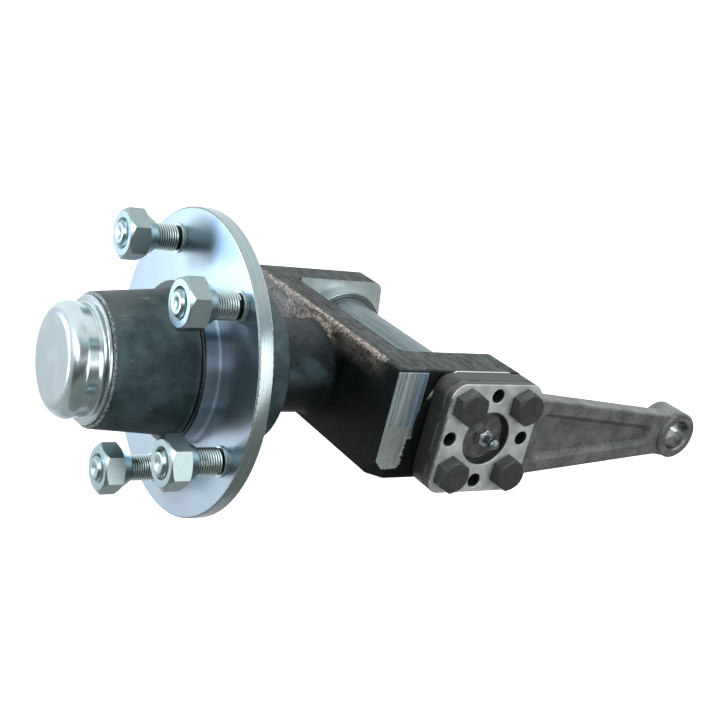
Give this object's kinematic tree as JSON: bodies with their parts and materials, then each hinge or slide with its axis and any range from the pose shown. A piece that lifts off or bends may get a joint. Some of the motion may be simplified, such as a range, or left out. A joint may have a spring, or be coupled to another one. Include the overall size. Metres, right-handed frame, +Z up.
{
  "type": "steering stub axle",
  "caption": "Steering stub axle without brakes: a forged yoke on a kingpin and weld-on pivot tube, a bolted steering arm, and a wheel hub with studs and a pressed hub cap.",
  "frame": {"origin": "where the kingpin's axis crosses the spindle's axis, inside the weld-on pivot tube", "axes": "+Z up the kingpin to the end with the steering arm and cap plate, +Y out along the spindle to the hub cap, +X completes the right-handed set"},
  "size_m": [0.18, 0.4098, 0.2142],
  "materials": {
    "forging_black": "black forging scale under a thin film of oil, with rust-brown specks",
    "hub_iron": "dark casting skin on the barrels, bright turned flange and spigot",
    "arm_forging": "blasted grey forging with lighter edges",
    "plate_steel": "satin milled steel",
    "bolt_black": "black oxide",
    "zinc_plate": "bright bluish zinc plating",
    "drawn_tube": "smooth drawn steel, pale blue-grey",
    "ground_steel": "ground bearing steel",
    "spring_steel": "dark spring steel",
    "cage_steel": "pressed sheet steel",
    "bush_bronze": "sintered bronze",
    "seal_rubber": "moulded nitrile rubber"
  },
  "bodies": {
    "pivot": {"pivot_tube": "drawn_tube", "upper_bush": "bush_bronze", "lower_bush": "bush_bronze", "thrust_top_race": "ground_steel"},
    "thrust_set": {"thrust_cage": "cage_steel", "thrust_balls": "ground_steel"},
    "steering_knuckle": {"knuckle": "forging_black", "kingpin": "ground_steel", "kingpin_lock_pin": "spring_steel", "kingpin_plug": "zinc_plate", "grease_nipple": "zinc_plate", "upper_thrust_washer": "ground_steel", "thrust_bottom_race": "ground_steel", "thrust_shroud": "zinc_plate", "steering_arm": "arm_forging", "cap_plate": "plate_steel", "arm_bolt_1": "bolt_black", "arm_bolt_2": "bolt_black", "arm_bolt_3": "bolt_black", "arm_bolt_4": "bolt_black", "inner_bearing_cone": "ground_steel", "outer_bearing_cone": "ground_steel", "spindle_washer": "zinc_plate", "castle_nut": "zinc_plate", "split_pin": "zinc_plate"},
    "inner_rolling_set": {"inner_bearing_cage": "cage_steel", "inner_bearing_rollers": "ground_steel"},
    "outer_rolling_set": {"outer_bearing_cage": "cage_steel", "outer_bearing_rollers": "ground_steel"},
    "wheel_hub": {"hub": "hub_iron", "hub_seal": "seal_rubber", "hub_cap": "zinc_plate", "inner_bearing_cup": "ground_steel", "outer_bearing_cup": "ground_steel", "wheel_stud_1": "zinc_plate", "wheel_stud_2": "zinc_plate", "wheel_stud_3": "zinc_plate", "wheel_stud_4": "zinc_plate", "wheel_stud_5": "zinc_plate", "wheel_nut_1": "zinc_plate", "wheel_nut_2": "zinc_plate", "wheel_nut_3": "zinc_plate", "wheel_nut_4": "zinc_plate", "wheel_nut_5": "zinc_plate"}
  },
  "joints": [
    {"name": "steer", "type": "hinge", "parent": "pivot", "child": "steering_knuckle", "pos_m": [0, 0, 0], "axis": [0, 0, 1], "range_deg": [-40, 40]},
    {"name": "hub_spin", "type": "hinge", "parent": "steering_knuckle", "child": "wheel_hub", "pos_m": [0, 0, 0], "axis": [0, 1, 0], "continuous": true},
    {"name": "thrust_roll", "type": "hinge", "parent": "pivot", "child": "thrust_set", "pos_m": [0, 0, 0], "axis": [0, 0, 1], "range_deg": [-20, 20]},
    {"name": "inner_cage_roll", "type": "hinge", "parent": "steering_knuckle", "child": "inner_rolling_set", "pos_m": [0, 0, 0], "axis": [0, 1, 0], "continuous": true},
    {"name": "outer_cage_roll", "type": "hinge", "parent": "steering_knuckle", "child": "outer_rolling_set", "pos_m": [0, 0, 0], "axis": [0, 1, 0], "continuous": true}
  ],
  "couplings": [
    {"joint": "thrust_roll", "follows": "steer", "ratio": 0.5},
    {"joint": "inner_cage_roll", "follows": "hub_spin", "ratio": 0.5806},
    {"joint": "outer_cage_roll", "follows": "hub_spin", "ratio": 0.5806}
  ]
}
